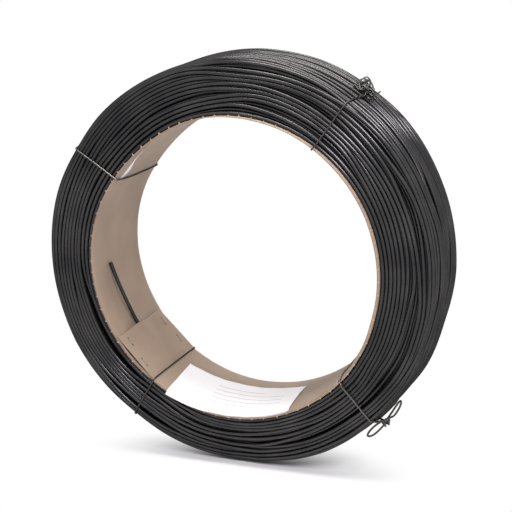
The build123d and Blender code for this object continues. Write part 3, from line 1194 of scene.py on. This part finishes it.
class WIRECOIL_OT_stage(bpy.types.Operator):
    """Set up the camera, the lamps, the pale floor and the world"""

    bl_idname = "wirecoil.stage"
    bl_label = "Stage"

    def execute(self, context):
        scene = context.scene
        s = scene.wire_coil_stage
        a, e = math.radians(s.azimuth), math.radians(s.elevation)
        back = Vector((math.sin(a) * math.cos(e), -math.cos(a) * math.cos(e), math.sin(e)))
        middle = Vector((0, 0, AXIS_Z * MM))
        data = bpy.data.cameras.new("camera")
        camera = bpy.data.objects.new("camera", data)
        scene.collection.objects.link(camera)
        camera.location = middle + back * s.distance
        camera.rotation_euler = (-back).to_track_quat("-Z", "Y").to_euler()
        data.sensor_width = SENSOR
        data.lens = LENS
        data.shift_x, data.shift_y = SHIFT
        data.clip_end = 50.0
        scene.camera = camera

        scene.view_settings.view_transform = "Standard"
        world = bpy.data.worlds.new("world")
        scene.world = world
        world.use_nodes = True
        tree = world.node_tree
        tree.nodes.clear()
        fill = glow(tree, "ShaderNodeBackground", WORLD_FILL)
        white = glow(tree, "ShaderNodeBackground", 1.0)
        light = mixed(tree, sees_white(tree), fill, white)
        add_node(tree, "ShaderNodeOutputWorld", {"Surface": light})

        for name, lamp in LAMPS.items():
            self.lamp(scene, name, *lamp)
        self.floor(scene)
        return {"FINISHED"}

    def lamp(self, scene, name, place, along, long_side, short_side, power, colour):
        """A soft lamp aimed at the middle of the coil, with its long side along a direction."""
        data = bpy.data.lights.new(name, "AREA")
        data.shape = "RECTANGLE"
        data.color = colour
        data.energy = power
        data.size = long_side
        data.size_y = short_side
        lamp = bpy.data.objects.new(name, data)
        scene.collection.objects.link(lamp)
        away = (Vector(place) - Vector((0, 0, AXIS_Z * MM))).normalized()
        side = Vector(along)
        side = (side - away * side.dot(away)).normalized()
        turn = Matrix((side, away.cross(side), away)).transposed()
        lamp.matrix_world = Matrix.Translation(Vector(place)) @ turn.to_4x4()

    def floor(self, scene):
        """A pale floor that shows its shadows near the coil and is plain white farther out."""
        material, tree, shader = new_material("pale_floor")
        pale = {"Base Color": (0.9, 0.9, 0.9, 1), "Roughness": 0.9, "Specular IOR Level": 0.0}
        set_inputs(tree, shader, pale)
        away = distance(tree, moved(tree, object_place(tree), SHADOW_PLACE, SHADOW_SCALE))
        inputs = {"Value": away, "From Min": 0.35, "From Max": 1.0}
        clear = add_node(tree, "ShaderNodeMapRange", inputs, interpolation_type="SMOOTHSTEP")
        shown = reckon(tree, "MULTIPLY", sees_white(tree), clear["Result"])
        white = glow(tree, "ShaderNodeEmission", 1.0)
        surface = mixed(tree, shown, shader.outputs["BSDF"], white)
        set_inputs(tree, tree.nodes["Material Output"], {"Surface": surface})
        mesh = bpy.data.meshes.new("floor")
        corners = [(x * FLOOR_HALF, y * FLOOR_HALF, 0)
                   for x, y in ((-1, -1), (1, -1), (1, 1), (-1, 1))]
        mesh.from_pydata(corners, [], [(0, 1, 2, 3)])
        mesh.materials.append(material)
        floor = bpy.data.objects.new("floor", mesh)
        scene.collection.objects.link(floor)
        floor.location.z = -0.0005


class WIRECOIL_PT_panel(bpy.types.Panel):
    """Lists the pieces of the coil"""

    bl_idname = "WIRECOIL_PT_panel"
    bl_label = "Wire coil"
    bl_space_type = "VIEW_3D"
    bl_region_type = "UI"
    bl_category = "Wire coil"

    def draw(self, context):
        for operator in OPERATORS:
            self.layout.operator(operator.bl_idname)


OPERATORS = (
    WIRECOIL_OT_stage,
    WIRECOIL_OT_winding,
    WIRECOIL_OT_liner,
    WIRECOIL_OT_tail,
    WIRECOIL_OT_staples,
    WIRECOIL_OT_label,
    WIRECOIL_OT_ties,
)
GROUPS = {
    "wire_coil_winding": WireCoilWinding,
    "wire_coil_liner": WireCoilLiner,
    "wire_coil_ties": WireCoilTies,
    "wire_coil_stage": WireCoilStage,
}


def register():
    for name, group in GROUPS.items():
        bpy.utils.register_class(group)
        setattr(bpy.types.Scene, name, bpy.props.PointerProperty(type=group))
    for operator in OPERATORS:
        bpy.utils.register_class(operator)
    bpy.utils.register_class(WIRECOIL_PT_panel)


def unregister():
    bpy.utils.unregister_class(WIRECOIL_PT_panel)
    for operator in reversed(OPERATORS):
        bpy.utils.unregister_class(operator)
    for name, group in reversed(GROUPS.items()):
        delattr(bpy.types.Scene, name)
        bpy.utils.unregister_class(group)


def main():
    register()
    bpy.ops.wirecoil.stage()
    bpy.ops.wirecoil.winding()
    bpy.ops.wirecoil.liner()
    bpy.ops.wirecoil.tail()
    bpy.ops.wirecoil.staples()
    bpy.ops.wirecoil.label()
    bpy.ops.wirecoil.ties()


if __name__ == "__main__":
    main()
